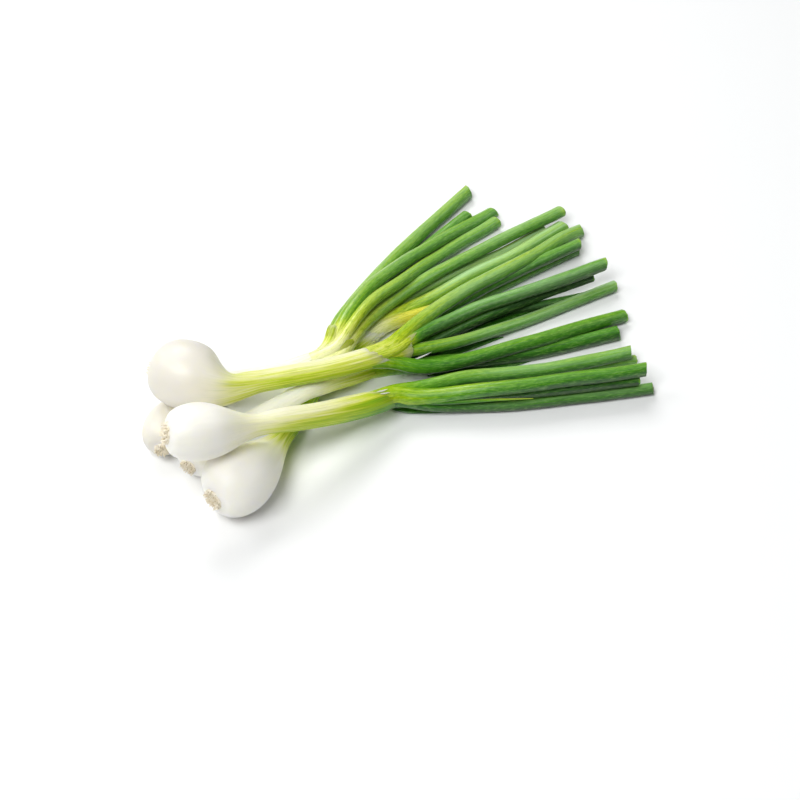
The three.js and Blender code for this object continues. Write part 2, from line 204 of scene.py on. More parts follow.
def lowest_over(points, radii, strands, share):
    """The lowest heights that clear the strands below. A share under 1 lets a leaf sink into them."""
    lowest = np.zeros(len(points))
    if len(strands) == 0:
        return lowest
    reach = (radii[:, None] + strands[None, :, 3]) * share[:, None] + AIR_GAP
    aside = np.linalg.norm(points[:, None] - strands[None, :, :2], axis=2)
    lift = np.sqrt(np.maximum(reach**2 - aside**2, 0))
    height = np.where(aside < reach, strands[None, :, 2] + lift, 0)
    return height.max(1)


# %% A springy rod
SPRING_STEP = 4             # mm between the points of the rod
LEAF_WEIGHT = 1.5e-5        # against the stiffness of the rod
ROUNDS = 20                 # enough for each point to touch and let go
NEARLY = 1e-9


def bend_rod(floors, held=3):
    """Heights of a springy rod over floors. Its first points are held on theirs."""
    count = len(floors)
    bending = np.diff(np.eye(count), 2, axis=0)
    stiffness = bending.T @ bending
    weight = LEAF_WEIGHT * SPRING_STEP**4
    touching = np.ones(count, bool)
    heights = floors.copy()
    for _ in range(ROUNDS * count):
        free = ~touching
        if free.any():
            push = -weight - stiffness[np.ix_(free, touching)] @ floors[touching]
            wanted = floors.copy()
            wanted[free] = np.linalg.solve(stiffness[np.ix_(free, free)], push)
            drop = heights - wanted
            blocked = free & (wanted < floors - NEARLY)
            if blocked.any():
                share = (heights - floors)[blocked] / drop[blocked]
                heights = heights - drop * share.min()
                touching[np.flatnonzero(blocked)[share.argmin()]] = True
                continue
            heights = wanted
        held_up = stiffness @ heights + weight
        held_up[:held] = 0
        held_up[free] = 0
        if held_up.min() > -NEARLY:
            break
        touching[held_up.argmin()] = False
    return heights


print("a rod from a 10 mm step down to the table:", bend_rod(np.repeat([10.0, 0.0], [4, 16])).round(1))

# %% Laying a leaf down
BASE_SLOPE = 0.22           # the steepest climb near the base
BASE_STRETCH = 30           # mm that the base reaches from its seat
NEST = (12, 60)             # mm between which the leaves of one onion stop nesting
TABLE_SHARE = math.cos(math.pi / 8)     # the solids have eight sides and lie on a flat one


def lay_down(points, radii, below, own, base_height, base_slope):
    """Heights of a leaf, one for every millimetre."""
    last = len(points) - 1
    along = np.arange(last + 1)
    count = round(last / SPRING_STEP)
    every = last / count
    lowest = np.max([
        radii * TABLE_SHARE,
        lowest_over(points, radii, below, np.ones(last + 1)),
        lowest_over(points, radii, own, smooth_step(along, *NEST)),
    ], axis=0)
    floors = np.zeros(count + 1)
    for i in range(count + 1):
        first = max(0, math.floor((i - 0.5) * every))
        floors[i] = lowest[first:math.ceil((i + 0.5) * every) + 1].max()
        if i * every < BASE_STRETCH:
            held = base_height + base_slope * every * min(i, 2)
            climb = BASE_SLOPE * every * max(0, i - 2)
            floors[i] = held if i < 3 else min(floors[i], held + climb)
    rows = np.stack([np.arange(count + 1) * every, bend_rod(floors)], 1)
    return smooth_between(rows, along)


# %% [markdown]
# ## The routes of all strands
# The onions are laid in the order in which they would be put down, and each leaf lies on everything
# before it. The radii here are those of the solids. The result is one list of points for each
# strand, which all later pieces follow.

# %% The widths of the solids
SHEATH_DEPTH = 8            # mm from the mouth of a stem down to the seats of its leaves
LEAF_BASE_RADIUS = 1.1
LEAF_SWELL = (7, 26)        # mm between which a leaf grows to its full radius
POINT_RADIUS = 0.15         # the tip of a young leaf, as a share of its radius
POINT_TAPER = 55            # mm in which its full width would narrow to nothing


def bulb_radius(onion, distance):
    """A quarter of an ellipse up to the belly, then a smooth wave down to the stem."""
    belly, neck, length = onion["belly"], onion["neck"], onion["length"]
    arc = np.sqrt(np.clip(1 - (1 - distance / belly) ** 2, 0, 1))
    base = onion["plate"] + (onion["bulb"] - onion["plate"]) * arc
    fall = np.clip((distance - belly) / (neck - belly), 0, 1)
    taper = np.clip((distance - neck) / (length - neck), 0, 1)
    stem = onion["stem"] + (onion["rim"] - onion["stem"]) * taper
    wave = stem + (onion["bulb"] - stem) * (1 + np.cos(math.pi * fall)) / 2
    return np.where(distance < belly, base, wave)


def point_taper(leaf, distance):
    """A young leaf narrows to a point. The others stay as wide as they are."""
    if not leaf.get("young"):
        return np.ones_like(distance, float)
    return np.minimum(1, POINT_RADIUS + (leaf["length"] - distance) / POINT_TAPER)


def solid_leaf_radius(leaf, distance):
    grown = smooth_step(distance, *LEAF_SWELL)
    full = LEAF_BASE_RADIUS + (leaf["radius"] - LEAF_BASE_RADIUS) * grown
    return full * point_taper(leaf, distance)


widest = max(ONIONS, key=lambda onion: onion["bulb"])
print("the widest bulb is", widest["name"], "at", 2 * widest["bulb"], "mm")

# %% The routes of all strands
# Every strand that is laid adds its rows of [x, y, height, radius], for the next ones to lie on.
laid = np.zeros((0, 4))
for onion in ONIONS:
    along = np.arange(onion["length"] + 1)
    plan = walk(onion["start"], onion["turns"], onion["length"])
    stem = np.column_stack([plan, smooth_between(onion["rises"], along)])
    onion["route"] = stem
    seat = stem[onion["length"] - SHEATH_DEPTH + 1]
    run = stem[-1] - seat
    flat_run = math.hypot(run[0], run[1])
    left = np.array([-run[1], run[0]]) / flat_run
    own = np.zeros((0, 4))
    for leaf in onion["leaves"]:
        plan = walk(seat[:2] + left * leaf["seat"][0], leaf["turns"], leaf["length"])
        radii = solid_leaf_radius(leaf, np.arange(leaf["length"] + 1))
        base_height = seat[2] + leaf["seat"][1]
        heights = lay_down(plan, radii, laid, own, base_height, run[2] / flat_run)
        leaf["route"] = np.column_stack([plan, heights])
        own = np.vstack([own, np.column_stack([leaf["route"], radii])])
    laid = np.vstack([laid, np.column_stack([stem, bulb_radius(onion, along)]), own])
highest = max(leaf["route"][:, 2].max() for onion in ONIONS for leaf in onion["leaves"])
print(f"highest point of a leaf: {highest:.1f} mm")

# %% [markdown]
# ## Skins
# A strand can be made with a curve and a bevel, but then every section is the same shape. Here a
# strand is a grid of points instead: rows along its route, and columns around it. Each point has its
# own distance, angle and radius, so a cut can slant, an edge can be torn and a bulb can swell. The
# angle starts at the top and turns clockwise, seen along the route.

# %% Points around a route
def spread(rows, columns):
    """Distances and angles for a grid of points around a strand."""
    angles = np.arange(columns) * TURN / columns
    return np.repeat(np.asarray(rows, float)[:, None], columns, 1), np.tile(angles, (len(rows), 1))


def around(route, distance, angle, radius):
    """Points at a distance along a route, an angle from the top, and a radius."""
    along = np.arange(len(route))
    ahead = np.gradient(route, axis=0)
    ahead /= np.linalg.norm(ahead, axis=1)[:, None]
    centre = np.stack([np.interp(distance, along, route[:, k]) for k in range(3)], -1)
    tangent = np.stack([np.interp(distance, along, ahead[:, k]) for k in range(3)], -1)
    beyond = distance - np.clip(distance, 0, along[-1])
    right = np.stack([tangent[..., 1], -tangent[..., 0], np.zeros_like(distance)], -1)
    right /= np.linalg.norm(right, axis=-1)[..., None]
    up = np.cross(right, tangent)
    aside = right * (radius * np.sin(angle))[..., None] + up * (radius * np.cos(angle))[..., None]
    return centre + tangent * beyond[..., None] + aside


print("three rings of eight points make a grid of", spread([0, 1, 2], 8)[0].shape)

# %% A closed skin over a grid
def closed_skin(name, points, facts, sharp=50):
    """A mesh over rows of closed rings, with one point in the middle of the first and last ring.

    Facts are values for every grid point that the materials read: a number or three numbers.
    A fact that is left out reads as 0."""
    rows, columns = points.shape[:2]
    flat = (points.reshape(-1, 3) - MIDDLE) * MM
    flat[:, 2] = np.maximum(flat[:, 2], 0)
    first, last = len(flat), len(flat) + 1
    ends = np.array([flat[:columns].mean(0), flat[-columns:].mean(0)])
    j = np.arange(columns)
    k = (j + 1) % columns
    quads = []
    for i in range(rows - 1):
        here, there = i * columns, (i + 1) * columns
        quads += np.stack([here + j, here + k, there + k, there + j], 1).tolist()
    top = (rows - 1) * columns
    fans = np.stack([np.full(columns, first), k, j], 1).tolist()
    fans += np.stack([np.full(columns, last), top + j, top + k], 1).tolist()
    mesh = bpy.data.meshes.new(name)
    mesh.from_pydata(np.vstack([flat, ends]).tolist(), [], quads + fans)
    for key, value in facts.items():
        value = np.broadcast_to(value, (rows, columns) + np.shape(value)[2:]).reshape(len(flat), -1)
        both = np.vstack([value, value[:columns].mean(0), value[-columns:].mean(0)])
        if both.shape[1] == 1:
            mesh.attributes.new(key, "FLOAT", "POINT").data.foreach_set("value", both.ravel())
        else:
            mesh.attributes.new(key, "FLOAT_VECTOR", "POINT").data.foreach_set("vector", both.ravel())
    mesh.shade_smooth()
    mesh.set_sharp_from_angle(angle=math.radians(sharp))
    skin = bpy.data.objects.new(name, mesh)
    scene.collection.objects.link(skin)
    return skin


# %% Grain and relief
def grain(distance, angle, offset=0):
    """Where a point is on its strand, with no seam: around as a circle, along in centimetres."""
    return np.stack([np.cos(angle), np.sin(angle), distance / 10 + offset], -1)


def draw_waves(draw, count, turns, lengths):
    """Waves of relief: how often each goes around the strand, its length in mm and its start."""
    return [(draw.integers(*turns), draw.uniform(*lengths), draw.uniform(0, TURN)) for _ in range(count)]


def relief(waves, angle, distance):
    """A smooth uneven relief between about -1 and 1: a sum of waves around and along a strand."""
    total = sum(np.cos(turns * angle + TURN * distance / length + start) for turns, length, start in waves)
    return total / math.sqrt(len(waves))


def ripples(draw, angle, distance, count, turns, lengths):
    """Relief from waves that are drawn for this piece alone."""
    return relief(draw_waves(draw, count, turns, lengths), angle, distance)


def keep(skin, node, material):
    """A finished piece: it rides on the bunch and, where a node is named, stands for its solid."""
    skin.data.materials.append(material)
    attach(skin, "root")
    if node:
        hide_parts(node)
    return skin


# %% [markdown]
# ## The finish of living skin
# A spring onion has one skin whose colour grows from white at the bulb through yellow-green at the
# fork to deep green. It could be painted by hand, but a scale works better: every point of a piece
# has an age from 0, the white bulb, to 1, the oldest green, and one colour ramp turns it into a colour.
# Long streaks, which follow the strand, push the age up and down. Small things are laid over that
# one by one: veins, freckles on the leaves, a thin wax that also paints a highlight on the upper side of
# the leaves, and dry papery edges. Cells hold water, so light goes a little way into the skin and
# comes out softer. That is subsurface scattering.

# %% Helpers for materials
def linear(red, green, blue):
    """A colour as a painter mixes it, 0 to 255, as the light values that Blender wants."""
    shares = [value / 255 for value in (red, green, blue)]
    return [s / 12.92 if s <= 0.04045 else ((s + 0.055) / 1.055) ** 2.4 for s in shares] + [1]


def node(tree, kind, inputs=None, **settings):
    """A new node with its settings. An input is a value or another node's output."""
    made = tree.nodes.new(kind)
    for key, value in settings.items():
        setattr(made, key, value)
    for key, value in (inputs or {}).items():
        if isinstance(value, bpy.types.NodeSocket):
            tree.links.new(value, made.inputs[key])
        else:
            made.inputs[key].default_value = value
    return made


def fact(tree, name, kind="Fac"):
    """What a mesh says about each of its points."""
    return node(tree, "ShaderNodeAttribute", attribute_type="GEOMETRY", attribute_name=name).outputs[kind]


print("middle grey has a light value of", round(linear(128, 128, 128)[0], 3))

# %% Sums and scales
def times(tree, first, second):
    return node(tree, "ShaderNodeMath", {0: first, 1: second}, operation="MULTIPLY").outputs[0]


def times_plus(tree, first, second, third, clamp=False):
    """The first value times the second, plus the third."""
    inputs = {0: first, 1: second, 2: third}
    return node(tree, "ShaderNodeMath", inputs, operation="MULTIPLY_ADD", use_clamp=clamp).outputs[0]


def swing(tree, noise, strength, other=0.0):
    """Noise as a push up and down around 0, on top of another push."""
    centred = node(tree, "ShaderNodeMath", {0: noise, 1: 0.5}, operation="SUBTRACT").outputs[0]
    return times_plus(tree, centred, strength, other)


def rescale(tree, value, low, high, least=0.0, most=1.0):
    """A value that goes from least to most while the first one goes from low to high."""
    inputs = {"Value": value, "From Min": low, "From Max": high, "To Min": least, "To Max": most}
    return node(tree, "ShaderNodeMapRange", inputs).outputs[0]


# %% Colours and streaks
def blend_of(tree, share, first, second, kind="MIX"):
    """A share of the second colour over the first. They are the inputs 0, 7 and 6 of the node."""
    inputs = {0: share, 6: first, 7: second}
    return node(tree, "ShaderNodeMix", inputs, data_type="RGBA", blend_type=kind).outputs[2]


def darkened(tree, share, colour, tone):
    """A share of the colour times a tone, over the colour itself."""
    return blend_of(tree, share, colour, blend_of(tree, 1.0, colour, tone, "MULTIPLY"))


def ramp(tree, share, stops):
    made = node(tree, "ShaderNodeValToRGB", {"Fac": share})
    elements = made.color_ramp.elements
    while len(elements) < len(stops):
        elements.new(1)
    for element, (at, colour) in zip(elements, stops):
        element.position = at
        element.color = colour
    return made.outputs["Color"]


def streaks(tree, where, across, along, detail=2.0, rough=0.5):
    """Noise with its own scale around a strand and along it."""
    scales = {0: where, 1: (across, across, along)}
    stretched = node(tree, "ShaderNodeVectorMath", scales, operation="MULTIPLY")
    inputs = {"Vector": stretched.outputs[0], "Scale": 1.0, "Detail": detail, "Roughness": rough}
    return node(tree, "ShaderNodeTexNoise", inputs).outputs["Fac"]


# %% The colours of a spring onion
AGES = [
    (0.00, linear(249, 245, 236)),
    (0.10, linear(247, 244, 218)),
    (0.22, linear(238, 238, 176)),
    (0.34, linear(218, 226, 92)),
    (0.45, linear(186, 208, 22)),
    (0.56, linear(148, 188, 6)),
    (0.68, linear(104, 164, 12)),
    (0.80, linear(70, 138, 14)),
    (0.90, linear(44, 106, 12)),
    (1.00, linear(24, 66, 12)),
]
PAPER = linear(250, 244, 226)       # the dry edges of sheaths
WAX_AND_HIGHLIGHT = linear(172, 214, 150)         # the bloom on leaves, and the painted highlight on their upper side
GOLD = linear(242, 228, 70)         # the base of a leaf that grew without light
CREAM = linear(217, 213, 201)       # a greyer cream that darkens the bellies of two bulbs
VEIN = linear(150, 178, 110)        # veins and spots darken what they lie on
SPOT = linear(130, 160, 100)
PORE = linear(186, 216, 140)
print(len(AGES), "ages from white to deep green")

# %% From an age to a colour
def grown_colour(tree, noise, age, lively, streaky):
    """The colour of an age, pushed up and down by streaks, and by tiny dots where there are few."""
    push = swing(tree, noise["fine"], 0.52 * streaky)
    push = swing(tree, noise["broad"], 0.34 * streaky, push)
    push = swing(tree, noise["dots"], 0.4 * (1 - streaky), push)
    colour = ramp(tree, times_plus(tree, push, lively, age, clamp=True), AGES)
    colour = blend_of(tree, fact(tree, "gold"), colour, GOLD)
    return blend_of(tree, fact(tree, "cream"), colour, CREAM)


def veined_and_freckled(tree, colour, noise, lively, streaky):
    """Veins are dark hairlines. Freckles are small pale pores with darker spots between them."""
    veins = rescale(tree, noise["hair"], 0.52, 0.68, most=0.34)
    colour = darkened(tree, times(tree, veins, lively), colour, VEIN)
    freckled = times(tree, lively, 2 * (1 - streaky))
    pores = rescale(tree, noise["dots"], 0.46, 0.34, most=0.16)
    colour = blend_of(tree, times(tree, pores, freckled), colour, PORE)
    spots = rescale(tree, noise["dots"], 0.52, 0.66, most=0.34)
    return darkened(tree, times(tree, spots, freckled), colour, SPOT)


def waxed_highlit_and_dried(tree, colour, noise):
    """Wax lies on the leaves in patches, thicker on the upper side as a painted highlight, and dry edges
    are papery.
    """
    patches = rescale(tree, noise["broad"], 0.35, 0.65, 0.3, 1.0)
    colour = blend_of(tree, times(tree, patches, fact(tree, "wax_and_highlight")), colour, WAX_AND_HIGHLIGHT)
    torn = rescale(tree, noise["fine"], 0.3, 0.6, 0.45, 1.0)
    return blend_of(tree, times(tree, torn, fact(tree, "paper")), colour, PAPER)


# %% Living skin
RELIEF_HEIGHT = 0.15                # mm
LIGHT_REACH = (1.0, 0.95, 0.55)     # how far red, green and blue light go into the skin


def living_skin(name, scatter, depth, gloss, roughness, streaky, specular):
    material = bpy.data.materials.new(name)
    material.use_nodes = True
    tree = material.node_tree
    shader = tree.nodes["Principled BSDF"]
    where = fact(tree, "grain", "Vector")
    noise = {
        "broad": streaks(tree, where, 2.2, 0.22),
        "fine": streaks(tree, where, 6.0, 0.30, detail=3.0, rough=0.6),
        "dots": streaks(tree, where, 5.5, 3.2, rough=0.6),
        "hair": streaks(tree, where, 18.0, 0.8),
    }
    age = fact(tree, "age")
    # The white bulb is calm. From the neck on, streaks are lighter and darker green.
    lively = rescale(tree, age, 0.02, 0.35)
    colour = grown_colour(tree, noise, age, lively, streaky)
    colour = veined_and_freckled(tree, colour, noise, lively, streaky)
    colour = waxed_highlit_and_dried(tree, colour, noise)
    tree.links.new(colour, shader.inputs["Base Color"])

    shine = rescale(tree, noise["fine"], 0.3, 0.7, gloss - 0.06, gloss + 0.1)
    tree.links.new(shine, shader.inputs["Roughness"])
    height = times_plus(tree, noise["hair"], 0.35, noise["fine"])
    relief_inputs = {"Height": height, "Strength": roughness, "Distance": RELIEF_HEIGHT * MM}
    bump = node(tree, "ShaderNodeBump", relief_inputs)
    tree.links.new(bump.outputs[0], shader.inputs["Normal"])
    shader.inputs["Subsurface Weight"].default_value = scatter
    shader.inputs["Subsurface Radius"].default_value = LIGHT_REACH
    shader.inputs["Subsurface Scale"].default_value = depth * MM
    shader.inputs["Specular IOR Level"].default_value = specular
    return material


bulb_skin = living_skin("bulb_skin", scatter=0.6, depth=5.0, gloss=0.38, roughness=0.35,
                        streaky=1.0, specular=0.5)
leaf_skin = living_skin("leaf_skin", scatter=0.06, depth=1.0, gloss=0.30, roughness=0.6,
                        streaky=0.5, specular=0.6)
print("materials:", [material.name for material in bpy.data.materials])

# %% [markdown]
# ## Bulbs and stems
# A bulb swells from the root plate to its belly and narrows to the stem. A lathe would give a
# perfect pot. A real bulb is a little lumpy, its skin has fine lengthwise ribs, and at the top of the
# stem the outermost leaf opens as a thin sheath with an uneven rim. So the radius gets slow ripples
# for the lumps and narrow ones for the ribs, and near the mouth each column has its own length.
# Some necks are pinched on one side, where they pressed against another stem. The lower side of a stem
# is greener, partly its own lime and partly painted shade, and the bellies of two bulbs are darkened to
# a greyer cream.

# %% The mouths of sheaths
SHEATH_WALL = 0.5
SHEATH_EDGE = 0.15
LIP_ROOT = 22                       # mm before the rim from which a lip is drawn out
NOTCHES = (6, (3, 17), (50, 60))    # waves: how many, turns around, lengths in mm


def lip_reach(lips, angle):
    """How far the rim of a sheath stands beyond its end, around the stem.

    A lip is [angle in degrees, reach in mm, width in degrees]; a reach below 0 is a notch."""
    reach = np.zeros_like(angle)
    for centre, height, width in lips:
        off = (angle - math.radians(centre) + math.pi) % TURN - math.pi
        reach += height * np.exp(-(off / math.radians(width)) ** 2)
    return reach


def mouth(draw, distance, angle, radius, end, lips, ragged, depth=SHEATH_DEPTH):
    """An outer skin with its lips drawn out, and the inner skin that goes back down from its rim."""
    reach = lip_reach(lips, angle[-1]) + ragged * ripples(draw, angle[-1], angle[-1] * 0, *NOTCHES)
    drawn_out = distance + reach * smooth_step(distance, end - LIP_ROOT, end)
    rows, angle_in = spread([0.0, 1.0, 3.0, depth], angle.shape[1])
    wall = SHEATH_EDGE + (SHEATH_WALL - SHEATH_EDGE) * smooth_step(rows, 0, 4)
    distance_in = end - rows + reach * (1 - rows / depth)
    return (
        np.vstack([drawn_out, distance_in]),
        np.vstack([angle, angle_in]),
        np.vstack([radius, radius[-1] - wall]),
        np.vstack([distance, end - rows]),
    )


# %% How each stem grew
# Green is [distance, age]. The lower side of a stem is older by a share of its own, partly its own lime
# and partly painted shade. Lips and dry places are [angle in degrees, reach or dryness, width in
# degrees]. A pinch is [angle in degrees, distance, width, depth in mm]. Slim narrows the whole piece,
# and cream is how far the belly is darkened to a greyer cream.
# The lower side of a strand, away from the lamps. On stems it is greener, partly its own lime and partly
# painted shade.
LIME_AND_SHADE_SIDE = math.radians(135)
GROWTH = {
    "near": dict(
        green=[(20, 0), (34, 0.05), (45, 0.3), (62, 0.58), (80, 0.55), (122, 0.48), (134, 0.16),
               (141, 0.24)],
        lime_and_shade=0.06, slim=0.96,
        lips=[(110, 9, 45), (-60, -6, 60)], dry=[]),
    "under": dict(
        green=[(20, 0), (40, 0.02), (72, 0.08), (93, 0.32), (106, 0.5)],
        lime_and_shade=0.07,
        lips=[(90, 4, 60)], dry=[]),
    "left": dict(
        green=[(22, 0), (45, 0.12), (90, 0.16), (108, 0.22)],
        lime_and_shade=0.10, cream=0.6,
        lips=[(110, 9, 45), (-40, -4, 50)], dry=[(60, 0.9, 80)]),
    "back": dict(
        green=[(20, 0), (30, 0.10), (38, 0.28), (57, 0.34), (98, 0.33), (115, 0.38)],
        lime_and_shade=0.16, cream=0.6, pinch=(-50, 36.5, 7.5, 5.0),
        lips=[(125, 8, 40), (-10, -5, 60)], dry=[(105, 1.0, 50), (-30, 0.8, 50)]),
    "top": dict(
        green=[(20, 0), (37, 0.13), (60, 0.28), (80, 0.34), (96, 0.46), (113, 0.56)],
        lime_and_shade=0.17, pinch=(-50, 37, 13, 2.2),
        lips=[(130, 4, 50), (-40, -7, 60)], dry=[(-35, 0.9, 28), (125, 0.5, 25)]),
}
print("pinched necks:", [name for name, growth in GROWTH.items() if "pinch" in growth])

# %% The shape of a bulb
BULB_COLUMNS = 120
LUMPS = (6, (1, 4), (25, 70))       # waves: how many, turns around, lengths in mm
RIBS = (9, (9, 30), (120, 400))
# The end under the roots is a low dome: [share of the plate's radius, distance].
DOME = [(0.3, -0.9), (0.55, -0.85), (0.75, -0.6), (0.9, -0.25), (0.98, 0.05)]


def swollen(draw, onion, distance, angle):
    """The radius of a bulb and its stem, with lumps, ribs, a pinched neck and a thin rim."""
    growth = GROWTH[onion["name"]]
    radius = bulb_radius(onion, distance) * growth.get("slim", 1)
    waist = smooth_step(distance, onion["belly"], onion["neck"])
    radius += ripples(draw, angle, distance, *LUMPS) * (0.22 - 0.12 * waist)
    radius += ripples(draw, angle, distance, *RIBS) * (0.02 + 0.075 * waist)
    if "pinch" in growth:
        side, centre, width, depth = growth["pinch"]
        facing = np.maximum(0, np.cos(angle - math.radians(side)))
        radius -= depth * facing * np.exp(-((distance - centre) / width) ** 2)
    return radius - 0.5 * smooth_step(distance, onion["length"] - 6, onion["length"])


def dome_under(plate):
    """Distances, angles and radii of the dome, and its distances again for the finish."""
    shares, rows = np.array(DOME).T
    distance, angle = spread(rows, BULB_COLUMNS)
    return distance, angle, np.repeat(shares[:, None] * plate, BULB_COLUMNS, 1), distance


# %% Bulbs and stems
DRY_PATCHES = (4, (2, 9), (9, 30))


def bulb_and_stem(onion, seed):
    draw = np.random.default_rng(seed)
    name, length = onion["name"], onion["length"]
    growth = GROWTH[name]
    rows = np.concatenate([np.linspace(0.25, 4, 9), np.arange(5, length + 0.5)])
    distance, angle = spread(rows, BULB_COLUMNS)
    radius = swollen(draw, onion, distance, angle)
    sheath = mouth(draw, distance, angle, radius, length, growth["lips"], 0.35)
    distances, angles, radii, plain = [np.vstack(pair) for pair in zip(dome_under(onion["plate"]), sheath)]

    stem_share = smooth_step(plain, onion["neck"] * 0.7, onion["neck"] * 1.2)
    age = smooth_between(growth["green"], plain) + growth["lime_and_shade"] * stem_share * np.cos(angles - LIME_AND_SHADE_SIDE)
    patchy = 0.6 + 0.4 * ripples(draw, angles, plain, *DRY_PATCHES)
    dryness = lip_reach(growth["dry"], angles) * np.clip(patchy, 0, 1)
    belly = 1 - smooth_step(plain, onion["belly"], onion["neck"] * 0.8)
    skin = closed_skin(name + "_bulb_and_stem", around(onion["route"], distances, angles, radii), {
        "grain": grain(plain, angles, seed * 7.3),
        "age": np.maximum(age, 0),
        "paper": np.clip(dryness, 0, 1) * smooth_step(plain, length - 8, length - 1),
        "cream": growth.get("cream", 0) * belly,
    })
    return keep(skin, name + "_bulb", bulb_skin)


for number, onion in enumerate(ONIONS):
    piece = bulb_and_stem(onion, number + 1)
    print(piece.name, len(piece.data.polygons), "faces")

# %% [markdown]
# ## Settled leaves
# Fresh leaves don't keep the even curves on which they were laid out. They lean on each other, sag
# between two supports and spring back at the ends. Moving them one by one by hand would do. Here
# each leaf gets a few small steps to its left and upwards, and a smooth curve joins the steps.

# %% Settled leaves
# Steps in mm at these distances along a leaf. A leaf that isn't named takes none.
SETTLE_AT = (0, 12, 24, 48, 72, 96, 120, 144, 170)
LEFTWARD = {
    "near_leaf_1": (0, 0, 0, 0, 0, -1.4, -0.6, 0, 0),
    "near_leaf_2": (0, 0, 0, 0, 0.5, 2, 2.8, 2.8, 2.8),
    "near_leaf_3": (0, 0.7, 0, -1, -0.5, -2, 0, 2, 2),
    "under_leaf_1": (0, 0, -0.5, -1.5, -1.5, -2.5, -4.5, -5, -5),
    "under_leaf_2": (0, 0, 1, 2, 1.4, 0.5, 0.6, 0.8, 0.8),
    "under_leaf_3": (0, 0, 0, 0.5, 1, 0.5, 0, 0, 0),
    "left_leaf_1": (0, -1.2, -1.8, -1.2, 0.3, 1.3, 1, 1, 0),
    "left_leaf_2": (0, 0, 0, 0, -1, -0.8, 0, 0, 0),
    "left_leaf_3": (0, 3.4, 3, -1.5, -3, -1.6, 0.5, 1, 1),
    "left_leaf_4": (0, 2, 1.5, -1, -2.6, -1.4, 0.4, 0, 0),
    "left_leaf_5": (0, 1, 1, 0.3, -2, 0.6, 2.8, 1.7, 1.7),
    "back_leaf_1": (0, 0, 0, 0, 0, 0, 0.5, 0.5, 0.5),
    "back_leaf_2": (0, 0, -1, -2, -0.5, 0.2, 1.4, 2.3, 2.3),
    "back_leaf_3": (0, -1.5, -2.6, -1.2, -0.7, -1, 0.2, 1.2, 1.2),
    "back_leaf_4": (0, 0, -1, -0.8, 0.3, -1.4, -1.5, 0.2, 0.2),
    "back_leaf_5": (0, 0.8, 0.8, -0.2, -1.2, -2.6, -2.4, 0.5, 1),
    "top_leaf_1": (0, 0, 0.3, 1.2, 0.6, 0.9, 0.2, 0.2, 0),
    "top_leaf_3": (0, 0, 0.3, 0.5, 0.3, 0, 0, 0, 0),
    "top_leaf_4": (0, 0, 1, 3.2, 2.7, 1.6, 1, 1, 1),
    "top_leaf_5": (0, 0, -0.8, -0.6, -1.0, -1.2, -1.2, -1.2, -1.2),
    "top_leaf_6": (0, 0, -1, 0.3, 0.9, 1.2, -0.4, -0.4, 0),
}
UPWARD = {
    "under_leaf_2": (0, 0, 1.5, 2.5, 0.5, 0, 0, 0, 0),
    "back_leaf_3": (0, -2.6, -3, -1.2, 0, 0, 0, 0, 0),
    "back_leaf_5": (0, 0, 0, 0, -1, -2, -1.6, 0, 0),
    "top_leaf_3": (0, 0, 0.8, 1.5, 1, 0, 0, 0, 0),
    "top_leaf_4": (0, 0, 0.5, 3, 2.6, 1, 0, 0, 0),
}


def settle(name, route):
    along = np.arange(len(route))
    ahead = np.gradient(route[:, :2], axis=0)
    ahead /= np.linalg.norm(ahead, axis=1)[:, None]
    still = (0,) * len(SETTLE_AT)
    left = smooth_between(list(zip(SETTLE_AT, LEFTWARD.get(name, still))), along)
    up = smooth_between(list(zip(SETTLE_AT, UPWARD.get(name, still))), along)
    return route + np.stack([-ahead[:, 1] * left, ahead[:, 0] * left, up], 1)


for onion in ONIONS:
    for number, leaf in enumerate(onion["leaves"]):
        leaf["name"] = f"{onion['name']}_leaf_{number + 1}"
        leaf["settled"] = settle(leaf["name"], leaf["route"])
        moved = np.linalg.norm(leaf["settled"] - leaf["route"], axis=1).max()
        print(f"{leaf['name']} settles by {moved:.1f} mm")

# %% [markdown]
# ## Inner sheaths
# Inside the outermost sheath there is another one, around the younger leaves. Where it opens, its edge
# dries to white paper. It could be left out, but then the leaves would start from one hole, like
# pencils in a cup. It is a short tube, wider in one direction, and follows the middle of its leaves.

# %% Inner sheaths
# Leaves are the ones inside, and the span is where they have the sheath around them. Radii and ages
# are at the foot and at the mouth, oval is [share, angle], and paper is [width, dryness].
INNER_SHEATHS = {
    "back": [
        dict(leaves=(2, 4), span=(5, 23), radii=(3.6, 4.7), oval=(0.26, -50),
             lips=[(-50, 9, 36), (130, -2, 50)], ages=(0.46, 0.40), paper=(6, 0.25)),
    ],
    "left": [
        dict(leaves=(3, 4), span=(6, 23), radii=(3.8, 4.6), oval=(0.06, -60),
             lips=[(110, 4, 50), (-150, 7, 50)], ages=(0.24, 0.42), paper=(2, 0.2)),
        dict(leaves=(5, 1), span=(7, 19), radii=(3.4, 4.2), oval=(0.10, -60),
             lips=[(70, 4, 40), (-90, -3, 50)], ages=(0.24, 0.50), paper=(2, 0.0)),
    ],
}
INNER_COLUMNS = 72
INNER_RIBS = (8, (9, 22), (60, 200))


